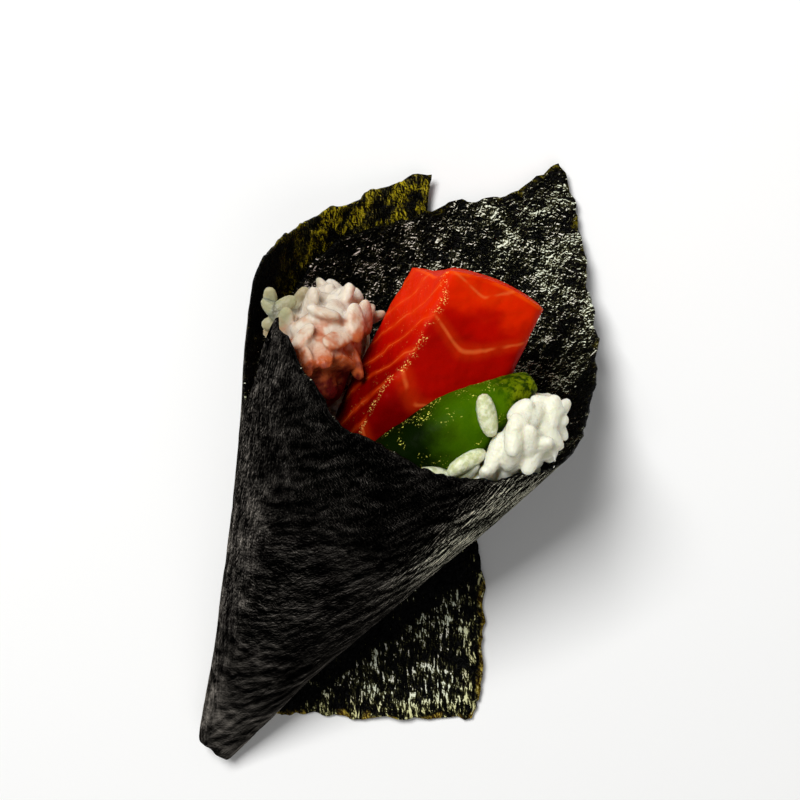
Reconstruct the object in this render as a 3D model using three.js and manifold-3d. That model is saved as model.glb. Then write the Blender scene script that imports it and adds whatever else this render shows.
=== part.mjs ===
// A temaki hand roll lying on its back: a half sheet of nori rolled into a cone round sushi rice,
// a bar of raw salmon and a slice of avocado. Millimetres, +Z up, +Y from the tip to the mouth.
//
// Two numbers place a point on the sheet. "turn" is the angle walked round the roll, in degrees,
// from the line that the roll rests on: 90 is the left side, 180 the top, 270 the right side, and
// past 360 the second layer starts. Below 0 the sheet leaves the roll and lies flat. "reach" is
// the distance from the apex of the cone, which is just below the tip.
import * as THREE from 'three';
import { mergeVertices } from 'three/addons/utils/BufferGeometryUtils.js';
import Module from 'manifold-3d';

// ---- the nori sheet ----
const HALF_ANGLE = THREE.MathUtils.degToRad(17.5);
const NORI = 0.5;
const LAYER_STEP = 1.3; // how much farther in the second layer lies
const LAYER_TURNS = [130, 300]; // between these turns the sheet goes from the first layer to it
const SHEET_COLUMNS = 84;
const SHEET_ROWS = 14;

// Corners of the sheet as [turn, reach]: the flap's free corner, the outer corner at the mouth,
// the inner corner at the mouth, and the one curled up inside the tip.
const FLAP_CORNER = [-156, 53.5];
const OUTER_CORNER = [26, 121];
const INNER_CORNER = [354, 133];
const TIP_CORNER = [470, 11];

// The long edge round the mouth, with a torn notch and a tooth on the left of the front.
const RIM = [
  OUTER_CORNER, [54, 110.5], [80, 105], [99, 101.5], [107, 97], [113, 86], [119, 86],
  [124, 91], [129.6, 104], [138, 102.5], [145, 100.6], [152, 98.9], [158.5, 97.2], [165, 95.3],
  [174, 96], [181, 96.4], [190, 95.8], [209, 95.6], [217, 96.4], [238, 98.6], [262, 100.5],
  [282, 103], [301, 108.5], [318, 115], [334, 122], INNER_CORNER,
];
// The other long edge, along the flap's foot and then round the tip.
const FOOT = [
  FLAP_CORNER, [-140, 40], [-118, 32], [-88, 25], [-40, 18.5], [0, 15], [60, 12.2],
  [120, 11.2], [180, 11], [260, 10.4], [360, 10], TIP_CORNER,
];
// The short edge that ends the flap, at equal steps from its foot to the mouth.
const FLAP_END = [
  FLAP_CORNER, [-138, 56], [-112, 60], [-86, 65.5], [-60, 71.5], [-36, 79], [-14, 88.5],
  [4, 99], [17, 110], OUTER_CORNER,
];
// The short edge inside the roll, at equal steps. It comes out along the back to its corner.
const INNER_END = [
  TIP_CORNER, [465, 24], [460, 38], [454, 53], [446, 69], [436, 84], [424, 97], [410, 105],
  [391, 111], [374, 118.5], [363, 122.5], INNER_CORNER,
];

// ---- how the roll lies and opens ----
const MOUTH_REACH = 98;
const SQUASH = 1.2; // how far the round form is pressed into the flat it rests on, at the mouth
// How far the left side stands out from the cone: all along, and at the mouth, between two reaches.
const FLARE = { side: 0.4, mouth: 1.9, from: 62, to: 98 };
// How much wider the tip is than the cone, on either side, fading out between two reaches.
const BLUNT = { width: 0.9, from: 8, to: 45 };
const WAVE = 0.25; // height of the sheet's waves along the roll
const LOOSE_WAVE = 0.75; // what is added to that where the sheet stands free

// ---- the filling ----
const GAP = 0.4; // between pieces that touch
const CORE_INSET = 2.6; // rice starts this far inside the outer skin, near the mouth
const RICE_START = 30; // reach of the deepest rice
const RICE_DOME = 4;
const RICE_END = [
  [0, 88], [55, 86], [85, 77], [125, 76], [155, 85], [210, 86], [245, 92], [300, 88], [360, 88],
];
const CAVITY_END = [[0, 116], [360, 116]];
const LEFT_HEAP = { centre: [-16.4, 84.4, 31], half: [7.6, 11.4, 14.6], grains: 54, seed: 11 };
const RIGHT_HEAP = { centre: [19.2, 87, 37.5], half: [6.9, 9.8, 10], grains: 42, seed: 23 };
const MOUTH_GRAINS = { grains: 22, seed: 37 };
// Small grains between the left heap and the wall: place, heading from +Y towards +X, and length.
const SIDE_GRAINS = [
  [-24, 90.2, 38.5, -25, 5.2], [-24.2, 87.2, 38.5, 35, 5], [-26.6, 88, 37.5, -50, 4.6],
  [-26, 84.9, 37.2, 10, 5], [-23.6, 84.6, 38, -20, 5.2],
];
const CLOSE_GRAINS = -0.25; // grains lie where the heap faces up and out of the mouth more than this
const GRAIN_LENGTH = 7.2;
const GRAIN_WIDTH = 3.1;
const GRAIN_SINK = 0.3; // share of a grain's width that is below what it lies on

// Section of the salmon bar, [right, up] from its middle line, and that line from mouth to depth.
const SALMON_SECTION = [[-5, 10], [10.8, 3.9], [10.2, -7.5], [-8.5, -9], [-11.2, -1.5]];
const SALMON_CORNER = 2.2;
const SALMON_BEVEL = 1.4;
const SALMON_LINE = [
  [1.6, 107, 33.5], [1.6, 95, 34.5], [1.5, 80, 33.5], [1.3, 62, 23], [1, 44, 13.5],
];
const SALMON_SCALE = [[0, 1], [0.45, 1], [0.75, 0.72], [1, 0.45]];
// How far out its end is cut, from left to right. It steps out at the ridge.
const SALMON_CUT = [[-11.5, -3.7], [-8.5, -2.7], [-6.4, -2], [-4.8, -0.5], [2.6, 1.3], [11, 1.2]];

// The avocado slice: half width, half thickness, and its middle line from mouth to depth.
const AVOCADO_HALF = [7, 5.4];
const AVOCADO_LINE = [
  [16.3, 98.5, 38.6], [10.4, 89.4, 41.2], [5.6, 80, 41.6], [2, 67.5, 37.5], [0.4, 50, 25],
];
// Shares of those halves along it, [place, width, thickness]: it narrows towards its right end.
const AVOCADO_SHARES = [[0, 0.34, 0.62], [0.1, 0.52, 0.74], [0.2, 0.74, 0.88], [0.34, 1, 1], [1, 1, 1]];
const AVOCADO_LEAN = THREE.MathUtils.degToRad(18); // its right edge hangs lower than its left
const AVOCADO_TAPER = 0.5; // below 1, it is thickest near the mouth and runs thin into the roll
const AVOCADO_BLUNTNESS = 0.34; // 1 gives pointed ends, less gives blunter ones
// Loose grains on the avocado: place in plan, and heading from +Y towards +X, in degrees.
const LOOSE_GRAINS = [[12.3, 90, -50], [12.6, 83.4, 40], [11, 80.4, -20], [6, 78.6, 80]];

const DEG = Math.PI / 180;
const { lerp, smoothstep, clamp } = THREE.MathUtils;

const wasm = await Module();
wasm.setup();

/** Generator of numbers from 0 to 1 that repeats itself for the same seed. */
function seeded(seed) {
  let state = seed;
  return () => {
    state = (Math.imul(state, 1664525) + 1013904223) >>> 0;
    return state / 4294967296;
  };
}

/** Smooth curve through [x, y, ...] stations, read at x. */
function through(stations) {
  const size = stations[0].length - 1;
  const xs = stations.map((station) => station[0]);
  const values = stations.flatMap((station) => station.slice(1));
  const curve = new THREE.CubicInterpolant(xs, values, size, new Float64Array(size));
  return (x) => Array.from(curve.evaluate(clamp(x, xs[0], xs[xs.length - 1])));
}

/** Smooth curve through points at equal steps, read from 0 to 1. */
function along(points) {
  return through(points.map((point, i) => [i / (points.length - 1), ...point]));
}

/** The greater of height and 0, rounded over a band either side of the corner. */
function softFloor(height, band) {
  const share = clamp(0.5 + (0.5 * height) / band, 0, 1);
  return height * share + band * share * (1 - share);
}

/** Outer skin of the roll. It is flat on z = 0 where the roll rests and where the flap lies. */
function skin(turn, reach) {
  if (turn < 0) {
    const aside = -turn * DEG * Math.sin(HALF_ANGLE);
    return new THREE.Vector3(reach * Math.sin(aside), reach * Math.cos(aside), 0);
  }
  const around = turn * DEG;
  const left = Math.max(0, Math.sin(around)) ** 2;
  const flare = left * lerp(FLARE.side, FLARE.mouth, smoothstep(reach, FLARE.from, FLARE.to));
  const blunt = BLUNT.width * Math.sin(around) ** 2 * (1 - smoothstep(reach, BLUNT.from, BLUNT.to));
  const radius = reach * Math.sin(HALF_ANGLE) + flare + blunt;
  const height = reach * Math.cos(HALF_ANGLE);
  const down = radius * Math.cos(around);
  const lowering = (SQUASH * reach) / MOUTH_REACH;
  return new THREE.Vector3(
    -radius * Math.sin(around),
    height * Math.cos(HALF_ANGLE) + down * Math.sin(HALF_ANGLE),
    softFloor(height * Math.sin(HALF_ANGLE) - down * Math.cos(HALF_ANGLE) - lowering, lowering),
  );
}

/** Direction from the skin into the roll, or up from the flap. */
function inward(turn, reach) {
  const sideways = skin(turn + 1, reach).sub(skin(turn - 1, reach));
  const outwards = skin(turn, reach + 0.5).sub(skin(turn, reach - 0.5));
  return outwards.cross(sideways).normalize();
}

/** Point a given depth inside the skin. */
function inside(turn, reach, depth) {
  return skin(turn, reach).addScaledVector(inward(turn, reach), depth);
}

/** Waves of the sheet, none where the roll rests. */
function wave(turn, reach) {
  const around = turn * DEG;
  const loose = smoothstep(reach, 88, 118);
  if (turn < 0) {
    const { x, y } = skin(turn, reach);
    const free = smoothstep(x, 9, 26);
    return (WAVE + LOOSE_WAVE) * free * (0.5 + 0.5 * Math.sin(0.33 * x - 0.5) * Math.cos(0.2 * y));
  }
  const fromRest = Math.abs(((turn + 180) % 360) - 180);
  const free = Math.max(smoothstep(fromRest, 14, 40), smoothstep(reach, 100, 112));
  const ripple = Math.sin(3 * around + 0.09 * reach) * Math.cos(2 * around - 0.14 * reach);
  return (WAVE + LOOSE_WAVE * loose) * free * (0.5 + 0.5 * ripple);
}

/** Depth of the sheet's middle: each turn lies inside the one before, and the tip curls shut. */
function layer(turn, reach) {
  const depth = NORI / 2 + LAYER_STEP * smoothstep(turn, ...LAYER_TURNS);
  const room = reach * Math.sin(HALF_ANGLE) - depth - NORI;
  const curl = smoothstep(turn, 300, TIP_CORNER[0]) * (1 - smoothstep(reach, 12, RICE_START - 5));
  return depth + Math.max(0, room) * curl;
}

const rimReach = through(RIM);
const footReach = through(FOOT);
const flapEnd = along(FLAP_END);
const innerEnd = along(INNER_END);

/** Turn and reach of a point of the sheet, u from flap to inner end and v from foot to rim. */
function onSheet(u, v) {
  const rimTurn = lerp(OUTER_CORNER[0], INNER_CORNER[0], u);
  const footTurn = lerp(FLAP_CORNER[0], TIP_CORNER[0], u);
  const rim = [rimTurn, ...rimReach(rimTurn)];
  const foot = [footTurn, ...footReach(footTurn)];
  const flap = flapEnd(v);
  const inner = innerEnd(v);
  return [0, 1].map((i) => {
    const edges = lerp(foot[i], rim[i], v) + lerp(flap[i], inner[i], u);
    const low = lerp(FLAP_CORNER[i], TIP_CORNER[i], u);
    const high = lerp(OUTER_CORNER[i], INNER_CORNER[i], u);
    return edges - lerp(low, high, v);
  });
}

/** Closed thin solid from a grid: place(u, v, side) gives a point of its lower or upper face. */
function leaf(columns, rows, place) {
  const grid = new THREE.PlaneGeometry(1, 1, columns, rows);
  const flat = grid.getAttribute('position');
  const positions = [];
  for (const side of [0, 1]) {
    for (let i = 0; i < flat.count; i += 1) {
      positions.push(...place(flat.getX(i) + 0.5, flat.getY(i) + 0.5, side));
    }
  }
  const lower = Array.from(grid.index.array);
  const faces = [];
  for (let i = 0; i < lower.length; i += 3) {
    const [a, b, c] = lower.slice(i, i + 3);
    faces.push(a, b, c, a + flat.count, c + flat.count, b + flat.count);
  }
  const width = columns + 1;
  const border = [];
  for (let i = 0; i < columns; i += 1) border.push(i);
  for (let i = 0; i < rows; i += 1) border.push(i * width + columns);
  for (let i = columns; i > 0; i -= 1) border.push(rows * width + i);
  for (let i = rows; i > 0; i -= 1) border.push(i * width);
  border.forEach((here, i) => {
    const next = border[(i + 1) % border.length];
    faces.push(here, next, next + flat.count, here, next + flat.count, here + flat.count);
  });
  const geometry = new THREE.BufferGeometry();
  geometry.setAttribute('position', new THREE.Float32BufferAttribute(positions, 3));
  geometry.setIndex(faces);
  return geometry;
}

/** Moves every vertex of a geometry by a function of its old place. */
function reshape(geometry, move) {
  const position = geometry.getAttribute('position');
  const point = new THREE.Vector3();
  for (let i = 0; i < position.count; i += 1) {
    move(point.fromBufferAttribute(position, i));
    position.setXYZ(i, point.x, point.y, point.z);
  }
  return geometry;
}

/** Solid that booleans can use. */
function solidOf(geometry) {
  geometry.deleteAttribute('normal');
  geometry.deleteAttribute('uv');
  const merged = mergeVertices(geometry);
  const vertProperties = new Float32Array(merged.getAttribute('position').array);
  const triVerts = new Uint32Array(merged.index.array);
  return new wasm.Manifold(new wasm.Mesh({ numProp: 3, vertProperties, triVerts }));
}

/** Geometry of a finished solid. */
function geometryOf(solid) {
  const mesh = solid.getMesh();
  const geometry = new THREE.BufferGeometry();
  geometry.setAttribute('position', new THREE.BufferAttribute(mesh.vertProperties, 3));
  geometry.setIndex(new THREE.BufferAttribute(mesh.triVerts, 1));
  geometry.computeVertexNormals();
  return geometry;
}

/** The rolled sheet. */
function noriSheet() {
  return leaf(SHEET_COLUMNS, SHEET_ROWS, (u, v, side) => {
    const [turn, reach] = onSheet(u, v);
    const depth = layer(turn, reach) + wave(turn, reach) + (side - 0.5) * NORI;
    return inside(turn, reach, depth);
  });
}

/** Point on the roll's axis. */
function onAxis(reach) {
  const centre = reach * Math.cos(HALF_ANGLE);
  return new THREE.Vector3(0, centre * Math.cos(HALF_ANGLE), centre * Math.sin(HALF_ANGLE));
}

/** Space inside the roll, a margin clear of it, up to an end that differs round the mouth. */
function cavity(endStations, dome, margin) {
  const mouthShare = 0.3;
  const tipShare = 0.85;
  const endReach = through(endStations);
  const axis = onAxis(1).normalize();
  return reshape(new THREE.SphereGeometry(1, 36, 18), (point) => {
    const turn = (Math.atan2(-point.z, point.x) / DEG + 360) % 360;
    const share = Math.acos(clamp(point.y, -1, 1)) / Math.PI;
    const end = endReach(turn)[0];
    const down = clamp((share - mouthShare) / (tipShare - mouthShare), 0, 1);
    const reach = lerp(end, RICE_START, down);
    let spread = 1;
    let bulge = 0;
    if (share < mouthShare) {
      spread = Math.sin((share / mouthShare) * 90 * DEG);
      bulge = dome * Math.cos((share / mouthShare) * 90 * DEG);
    }
    if (share > tipShare) {
      spread = Math.cos(((share - tipShare) / (1 - tipShare)) * 90 * DEG);
      bulge = -dome * Math.sin(((share - tipShare) / (1 - tipShare)) * 90 * DEG);
    }
    const middle = onAxis(lerp(endReach(180)[0], RICE_START, down));
    point.copy(inside(turn, reach, CORE_INSET + margin)).sub(middle).multiplyScalar(spread);
    point.add(middle).addScaledVector(axis, bulge);
  });
}

/** An outline with its corners rounded. */
function roundedShape(corners, radius) {
  const shape = new THREE.Shape();
  const points = corners.map(([x, y]) => new THREE.Vector2(x, y));
  points.forEach((corner, i) => {
    const before = points[(i + points.length - 1) % points.length];
    const after = points[(i + 1) % points.length];
    const start = corner.clone().add(before.clone().sub(corner).setLength(radius));
    const end = corner.clone().add(after.clone().sub(corner).setLength(radius));
    if (i === 0) shape.moveTo(start.x, start.y);
    else shape.lineTo(start.x, start.y);
    shape.quadraticCurveTo(corner.x, corner.y, end.x, end.y);
  });
  return shape;
}

/** The salmon bar, grown on all sides by a margin. */
function salmonBar(margin) {
  const line = along(SALMON_LINE);
  const scale = through(SALMON_SCALE);
  const cut = through(SALMON_CUT);
  const depth = SALMON_LINE[0][1] - SALMON_LINE[SALMON_LINE.length - 1][1];
  const bar = new THREE.ExtrudeGeometry(roundedShape(SALMON_SECTION, SALMON_CORNER), {
    depth: depth + 2 * margin, steps: 12, curveSegments: 3, bevelSegments: 2,
    bevelThickness: SALMON_BEVEL, bevelSize: SALMON_BEVEL, bevelOffset: margin - SALMON_BEVEL,
  });
  return reshape(bar, (point) => {
    const share = clamp((point.z - margin) / depth, 0, 1);
    const beyond = point.z - margin - share * depth;
    const [x, , z] = line(share);
    const size = scale(share)[0];
    const farther = cut(point.x)[0] * (1 - share);
    const y = SALMON_LINE[0][1] - share * depth - beyond + farther;
    point.set(x + point.x * size, y, z + point.y * size);
  });
}

/** The avocado slice, grown on all sides by a margin. */
function avocadoSlice(margin) {
  const line = along(AVOCADO_LINE);
  const shares = through(AVOCADO_SHARES);
  const [halfWidth, halfThickness] = AVOCADO_HALF.map((half) => half + margin);
  return reshape(new THREE.SphereGeometry(1, 20, 18), (point) => {
    const share = Math.acos(clamp(point.y, -1, 1)) / Math.PI;
    const girth = share % 1 ? Math.sin(Math.PI * share ** AVOCADO_TAPER) ** AVOCADO_BLUNTNESS : 0;
    const around = Math.atan2(point.z, point.x);
    const middle = new THREE.Vector3(...line(share));
    const ahead = new THREE.Vector3(...line(Math.max(0, share - 0.02)));
    const behind = new THREE.Vector3(...line(Math.min(1, share + 0.02)));
    const heading = ahead.sub(behind).normalize();
    const right = heading.clone().cross(new THREE.Vector3(0, 0, 1)).normalize();
    const up = right.clone().cross(heading);
    right.applyAxisAngle(heading, AVOCADO_LEAN);
    up.applyAxisAngle(heading, AVOCADO_LEAN);
    point.copy(middle).addScaledVector(heading, margin * Math.sign(0.5 - share) * (1 - girth));
    const [wide, thick] = shares(share);
    point.addScaledVector(right, halfWidth * wide * girth * Math.cos(around));
    point.addScaledVector(up, halfThickness * thick * girth * Math.sin(around));
  });
}

/** One grain: a low-sided ellipsoid with its long side along heading, resting on a face. */
function grain(centre, heading, up, length, width) {
  const body = new THREE.SphereGeometry(0.5, 5, 4);
  const side = heading.clone().cross(up).normalize();
  const frame = new THREE.Matrix4().makeBasis(side, heading, side.clone().cross(heading));
  body.scale(width, length, width * 0.9);
  body.applyMatrix4(frame);
  body.translate(centre.x, centre.y, centre.z);
  return solidOf(body);
}

/** Lays a grain on a spot, turned by a share of half a turn, unless it would cross an obstacle. */
function layGrain(spot, normal, draw, obstacles) {
  const across = new THREE.Vector3(0.3, 1, 0.2).cross(normal).normalize();
  const heading = across.applyAxisAngle(normal, Math.PI * draw());
  heading.addScaledVector(normal, 0.5 * (draw() - 0.5)).normalize();
  const length = GRAIN_LENGTH * lerp(0.86, 1.12, draw());
  const width = GRAIN_WIDTH * lerp(0.9, 1.12, draw());
  const centre = spot.clone().addScaledVector(normal, (0.5 - GRAIN_SINK) * width);
  const room = grain(centre, heading, normal, length + 2 * GAP, width + 2 * GAP);
  if (obstacles.some((obstacle) => !room.intersect(obstacle).isEmpty())) return null;
  return grain(centre, heading, normal, length, width);
}

/** Directions spread evenly over a ball. */
function evenDirections(count) {
  const golden = Math.PI * (3 - Math.sqrt(5));
  return Array.from({ length: count }, (_, i) => {
    const height = 1 - (2 * (i + 0.5)) / count;
    const ring = Math.sqrt(1 - height * height);
    return new THREE.Vector3(ring * Math.cos(golden * i), ring * Math.sin(golden * i), height);
  });
}

/** A heap's smooth core. */
function heapCore({ centre, half }) {
  const ball = new THREE.SphereGeometry(1, 16, 10);
  ball.scale(...half);
  ball.translate(...centre);
  return solidOf(ball);
}

/** Grains over the part of a heap that faces up and out of the mouth. */
function heapGrains({ centre, half, grains, seed }, obstacles) {
  const draw = seeded(seed);
  const middle = new THREE.Vector3(...centre);
  const size = new THREE.Vector3(...half);
  const open = new THREE.Vector3(0, 0.75, 0.65);
  return evenDirections(grains).map((direction) => {
    const spot = direction.clone().multiply(size).add(middle);
    const normal = direction.clone().divide(size).normalize();
    const laid = layGrain(spot, normal, draw, obstacles);
    return normal.dot(open) > CLOSE_GRAINS ? laid : null;
  });
}

/** Grains over the rice that faces out of the mouth between the heaps. */
function mouthGrains({ grains, seed }, obstacles) {
  const draw = seeded(seed);
  const axis = onAxis(1).normalize();
  const golden = 180 * (3 - Math.sqrt(5));
  const end = through(RICE_END);
  return Array.from({ length: grains }, (_, i) => {
    const spread = Math.sqrt((i + 0.5) / grains);
    const turn = (golden * i) % 360;
    const middle = onAxis(end(180)[0]);
    const spot = inside(turn, end(turn)[0], CORE_INSET + 1).sub(middle).multiplyScalar(spread);
    spot.add(middle).addScaledVector(axis, RICE_DOME * Math.sqrt(1 - spread * spread));
    return layGrain(spot, axis, draw, obstacles);
  });
}

/** The small grains beside the left heap. */
function sideGrains(obstacles) {
  return SIDE_GRAINS.map(([x, y, z, heading, length]) => {
    const centre = new THREE.Vector3(x, y, z);
    const long = new THREE.Vector3(Math.sin(heading * DEG), Math.cos(heading * DEG), 0);
    const up = new THREE.Vector3(0, 0, 1);
    const room = grain(centre, long, up, length + 2 * GAP, GRAIN_WIDTH + 2 * GAP);
    if (obstacles.some((obstacle) => !room.intersect(obstacle).isEmpty())) return null;
    return grain(centre, long, up, length, GRAIN_WIDTH);
  });
}

/** The avocado with the loose grains that lie on it, grown on all sides by a margin. */
function avocadoSolid(margin) {
  const ray = new THREE.Raycaster();
  const target = new THREE.Mesh(avocadoSlice(0));
  const grains = LOOSE_GRAINS.map(([x, y, heading]) => {
    ray.set(new THREE.Vector3(x, y, 90), new THREE.Vector3(0, 0, -1));
    const { point, face } = ray.intersectObject(target)[0];
    const long = new THREE.Vector3(Math.sin(heading * DEG), Math.cos(heading * DEG), 0);
    long.projectOnPlane(face.normal).normalize();
    point.addScaledVector(face.normal, (0.5 - GRAIN_SINK) * GRAIN_WIDTH);
    return grain(point, long, face.normal, GRAIN_LENGTH + 2 * margin, GRAIN_WIDTH + 2 * margin);
  });
  return grains.reduce((sum, solid) => sum.add(solid), solidOf(avocadoSlice(margin)));
}

/** The rice: one core cut round the fish and the avocado, with its outer grains fused on. */
function riceSolid(nori) {
  const grownSalmon = solidOf(salmonBar(GAP));
  const grownAvocado = avocadoSolid(GAP);
  const room = solidOf(cavity(CAVITY_END, RICE_DOME, GAP));
  const heaps = heapCore(LEFT_HEAP).add(heapCore(RIGHT_HEAP)).intersect(room);
  const core = solidOf(cavity(RICE_END, RICE_DOME, 0)).add(heaps);
  const bare = core.subtract(grownSalmon).subtract(grownAvocado);
  const obstacles = [grownSalmon, grownAvocado, nori];
  const grains = [
    ...heapGrains(LEFT_HEAP, obstacles),
    ...heapGrains(RIGHT_HEAP, obstacles),
    ...mouthGrains(MOUTH_GRAINS, obstacles),
  ].filter((solid) => solid && !solid.intersect(bare).isEmpty());
  grains.push(...sideGrains(obstacles).filter(Boolean));
  const whole = grains.reduce((sum, solid) => sum.add(solid), bare);
  const pieces = whole.decompose().sort((a, b) => b.volume() - a.volume());
  return pieces[0];
}

/** A named mesh of the roll. */
function piece(name, geometry, color, roughness) {
  const material = new THREE.MeshStandardMaterial({ color, roughness, metalness: 0 });
  const mesh = new THREE.Mesh(geometry, material);
  mesh.name = name;
  return mesh;
}

const noriGeometry = noriSheet();
const avocado = avocadoSolid(0).subtract(solidOf(salmonBar(GAP)));
const roll = new THREE.Group();
roll.add(piece('nori_sheet', noriGeometry, 0x23261d, 0.45));
roll.add(piece('rice', geometryOf(riceSolid(solidOf(noriGeometry.clone()))), 0xe9e4da, 0.4));
roll.add(piece('salmon', salmonBar(0), 0xe2501e, 0.35));
roll.add(piece('avocado', geometryOf(avocado), 0x5f8f1e, 0.35));

// The origin is under the middle of the whole roll, on the surface that it lies on.
const bounds = new THREE.Box3().setFromObject(roll);
const middle = bounds.getCenter(new THREE.Vector3());
roll.position.set(-middle.x, -middle.y, -bounds.min.z);

const group = new THREE.Group();
group.add(roll);
export default group;
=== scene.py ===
# %% [markdown]
# # A temaki hand roll
# A temaki is a half sheet of nori rolled by hand into a cone round sushi rice and its fillings.
# This one lies on its back with its loose corner flat beside it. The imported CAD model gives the
# frame: what is placed here in metres already sits where the CAD says. Lengths are written in mm
# and become metres where a mesh is made.

# %% Load the frame
import math
import random

import bmesh
import bpy
from mathutils import Matrix, Vector, noise
from mathutils.bvhtree import BVHTree
from mathutils.kdtree import KDTree


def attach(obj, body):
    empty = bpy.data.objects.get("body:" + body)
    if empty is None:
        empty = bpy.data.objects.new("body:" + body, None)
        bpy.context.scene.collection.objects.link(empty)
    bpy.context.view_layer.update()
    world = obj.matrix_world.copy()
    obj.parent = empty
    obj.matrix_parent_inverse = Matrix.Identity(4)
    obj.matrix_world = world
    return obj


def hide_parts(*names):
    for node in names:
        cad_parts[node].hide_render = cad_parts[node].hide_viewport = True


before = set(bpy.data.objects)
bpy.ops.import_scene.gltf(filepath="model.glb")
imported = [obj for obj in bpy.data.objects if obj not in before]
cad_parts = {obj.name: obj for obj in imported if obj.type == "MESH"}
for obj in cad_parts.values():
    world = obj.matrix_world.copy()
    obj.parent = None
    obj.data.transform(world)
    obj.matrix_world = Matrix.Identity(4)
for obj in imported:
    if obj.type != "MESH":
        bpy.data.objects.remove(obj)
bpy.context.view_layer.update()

MM = 0.001
APEX = Vector((-3.208, -71.056, 0.0))  # where the cone's apex is in the frame, in mm
print("nodes:", sorted(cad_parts))

# %% [markdown]
# ## How the pieces are made
# The sheet, the fish and the avocado could be sculpted, or bent from planes by modifiers, but then
# nothing would say where a torn edge or a line of fat has to go. Here each one starts as a flat
# grid, and a rule moves each of its points to where that point of the real surface lies. The same
# rule gives it a UV map at real size, so that fibres and fat lines can follow the surface.

# %% A grid moved into shape
JOIN_WITHIN = 0.01  # mm, for the seam of a closed piece


def grid_piece(name, columns, rows, place, chart, closed=False):
    """Piece from a grid: place(u, v) is a point in mm, and chart(u, v) its UV, in mm."""
    shape = bmesh.new()
    bmesh.ops.create_grid(shape, x_segments=columns, y_segments=rows, size=0.5)
    share = {vert: (vert.co.x + 0.5, vert.co.y + 0.5) for vert in shape.verts}
    spots = {vert: Vector(chart(u, v)) * MM for vert, (u, v) in share.items()}
    uv_layer = shape.loops.layers.uv.new("UVMap")
    for face in shape.faces:
        face.smooth = True
        for loop in face.loops:
            loop[uv_layer].uv = spots[loop.vert]
    for vert, (u, v) in share.items():
        vert.co = (place(u, v) + APEX) * MM
    if closed:
        bmesh.ops.remove_doubles(shape, verts=shape.verts, dist=JOIN_WITHIN * MM)
        bmesh.ops.recalc_face_normals(shape, faces=shape.faces)
    return finished(name, shape)


def object_of(name, shape):
    """Makes the bmesh an object of the scene."""
    mesh = bpy.data.meshes.new(name)
    shape.to_mesh(mesh)
    shape.free()
    made = bpy.data.objects.new(name, mesh)
    bpy.context.scene.collection.objects.link(made)
    return made


def finished(name, shape):
    """Makes the bmesh a piece that rides on the roll."""
    piece = object_of(name, shape)
    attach(piece, "root")
    print(f"{name}: {len(piece.data.vertices)} points, {len(piece.data.polygons)} faces")
    return piece


# %% [markdown]
# The rules are written with a few small functions. The two that matter most are a smooth step
# between two values, which fades one thing into another, and a smooth curve through a handful of
# stations, which draws a rim or a middle line as a curve tool would.

# %% Steps and curves
def clamp(value, low=0.0, high=1.0):
    return min(max(value, low), high)


def blend(a, b, share):
    return a + (b - a) * share


def ease(value, low, high):
    """Smooth step from 0 at low to 1 at high."""
    share = clamp((value - low) / (high - low))
    return share * share * (3 - 2 * share)


def through(stations):
    """Smooth curve through [x, y, ...] stations, read at x. It is flat-curved at its ends."""
    xs = [station[0] for station in stations]
    rows = [station[1:] for station in stations]
    last = len(xs) - 1

    def read(x):
        x = clamp(x, xs[0], xs[last])
        i = next(k for k in range(1, last + 1) if x <= xs[k])
        before = i - 2 if i > 1 else i
        after = i + 1 if i < last else i - 1
        span = xs[i] - xs[i - 1]
        p = (x - xs[i - 1]) / span
        back = 0.5 * span / (xs[i - 1] - xs[before])
        on = 0.5 * span / (xs[after] - xs[i])
        weights = (
            back * (2 * p**2 - p**3 - p),
            (1 + back) * p**3 - (1.5 + 2 * back) * p**2 + (back - 0.5) * p + 1,
            (1.5 + on) * p**2 - (1 + on) * p**3 + 0.5 * p,
            on * (p**3 - p**2),
        )
        near = (rows[before], rows[i - 1], rows[i], rows[after])
        return [sum(w * row[k] for w, row in zip(weights, near)) for k in range(len(rows[0]))]

    return read


def along(points):
    """Smooth curve through points at equal steps, read from 0 to 1."""
    return through([(i / (len(points) - 1), *point) for i, point in enumerate(points)])


print("half way up a smooth step:", ease(0.5, 0, 1))

# %% [markdown]
# ## The nori
# Nori is a paper of dried seaweed, here half a sheet. It could be a plane rolled up by a cloth
# simulation, but that is hard to steer. Paper bends without stretching, so a hand roll is a cone
# and can be worked out instead. A point on the sheet is named by two numbers. The turn is the
# angle walked round the cone in degrees, from the line that it rests on, and the reach is the
# distance from the apex. The four edges are curves in those numbers, and a Coons patch, which
# blends between four edge curves, fills them in.

# %% The sheet's edges, as turn and reach
HALF_ANGLE = math.radians(17.5)
FLAP_CORNER, OUTER_CORNER = (-156, 53.5), (26, 121)
INNER_CORNER, TIP_CORNER = (354, 133), (470, 11)
rim_reach = through([
    OUTER_CORNER, (54, 110.5), (80, 105), (99, 101.5), (107, 97), (113, 85), (119, 85.5),
    (124, 90.5), (127, 96.5), (129.6, 104.2), (132, 103.2), (138, 102.5), (145, 100.6),
    (152, 98.9), (158.5, 97.2), (165, 95.3), (174, 96), (181, 96.4), (190, 95.8), (209, 95.6),
    (217, 96.4), (238, 98.6), (262, 100.5), (282, 103), (301, 108.5), (318, 115), (334, 122),
    INNER_CORNER,
])
foot_reach = through([
    FLAP_CORNER, (-140, 40), (-118, 32), (-88, 25), (-40, 18.5), (0, 15), (60, 12.2), (120, 11.2),
    (180, 10.6), (260, 9.5), (360, 9.6), TIP_CORNER,
])
flap_end = along([
    FLAP_CORNER, (-138, 56), (-112, 60), (-86, 65.5), (-60, 71.5), (-36, 79), (-14, 88.5), (4, 99),
    (17, 110), OUTER_CORNER,
])
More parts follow.
